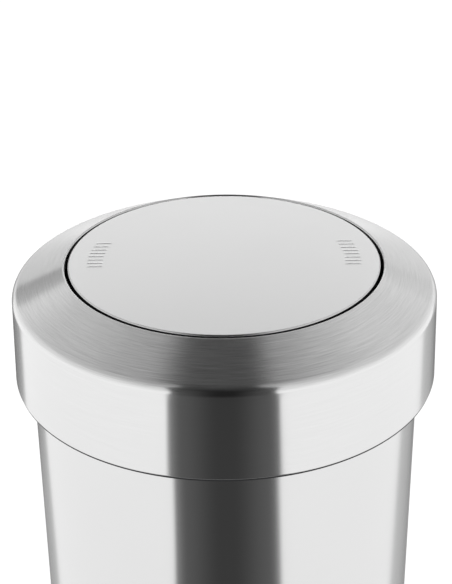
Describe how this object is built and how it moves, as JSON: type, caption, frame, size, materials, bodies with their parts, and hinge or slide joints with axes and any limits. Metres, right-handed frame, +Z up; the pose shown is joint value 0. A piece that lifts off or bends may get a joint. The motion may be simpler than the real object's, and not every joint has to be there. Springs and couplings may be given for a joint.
{
  "type": "swing-lid trash can",
  "caption": "Round brushed-steel kitchen bin with a lift-off collar lid, a counterweighted disc flap that swings when pushed, and a lift-out inner bucket with a wire handle.",
  "frame": {"origin": "on the floor, under the middle of the round can", "axes": "+Z up; -Y the front, the side the picture is taken from; +X the can's right-hand side seen from the front. The flap's swing axis runs along Y, and the side seam and the lowered bail are at +Y, the back"},
  "size_m": [0.3259, 0.326, 0.6502],
  "materials": {
    "brushed_shell": "satin stainless steel, grain running round the can",
    "brushed_flap": "satin stainless steel, straight grain running left to right",
    "plain_steel": "bright mill-finish sheet",
    "zinc": "bright zinc plate",
    "weight_steel": "black oxide bar",
    "black_plastic": "fine matt moulded plastic",
    "bucket_plastic": "satin polypropylene",
    "bearing_plastic": "natural acetal",
    "rubber": "soft matt rubber",
    "wire": "galvanised wire",
    "grip": "smooth black tube"
  },
  "bodies": {
    "can": {"body_shell": "brushed_shell", "bottom_plate": "plain_steel", "base_ring": "black_plastic", "floor_pads": "rubber"},
    "lid": {"collar_shell": "brushed_shell", "lid_inner_ring": "black_plastic", "seat_gasket": "rubber", "stop_pads": "rubber", "bearing_block_rear": "bearing_plastic", "bearing_block_front": "bearing_plastic", "bearing_screws": "zinc"},
    "flap": {"flap_disc": "brushed_flap", "flap_carrier": "black_plastic", "stud_nuts": "zinc", "pivot_pin_rear": "zinc", "pivot_pin_front": "zinc", "pivot_spacers": "bearing_plastic", "counterweight": "weight_steel", "counterweight_screws": "zinc"},
    "bucket": {"inner_bucket": "bucket_plastic", "bail_ear_right": "plain_steel", "bail_ear_left": "plain_steel", "ear_rivets": "zinc"},
    "bail": {"bucket_bail": "wire", "bail_grip": "grip"}
  },
  "joints": [
    {"name": "lid_lift", "type": "slide", "parent": "can", "child": "lid", "axis": [0, 0, 1], "range_m": [0, 0.9]},
    {"name": "flap_swing", "type": "hinge", "parent": "lid", "child": "flap", "pos_m": [0, 0, 0.635], "axis": [0, 1, 0], "range_deg": [-80, 80]},
    {"name": "bucket_lift", "type": "slide", "parent": "can", "child": "bucket", "axis": [0, 0, 1], "range_m": [0, 0.58]},
    {"name": "bail_swing", "type": "hinge", "parent": "bucket", "child": "bail", "pos_m": [0, 0, 0.548], "axis": [1, 0, 0], "range_deg": [0, 90]}
  ],
  "couplings": [
    {"joint": "bucket_lift", "follows": "lid_lift", "ratio": 0.644},
    {"joint": "bail_swing", "follows": "lid_lift", "rad_per_m": 1.745}
  ]
}
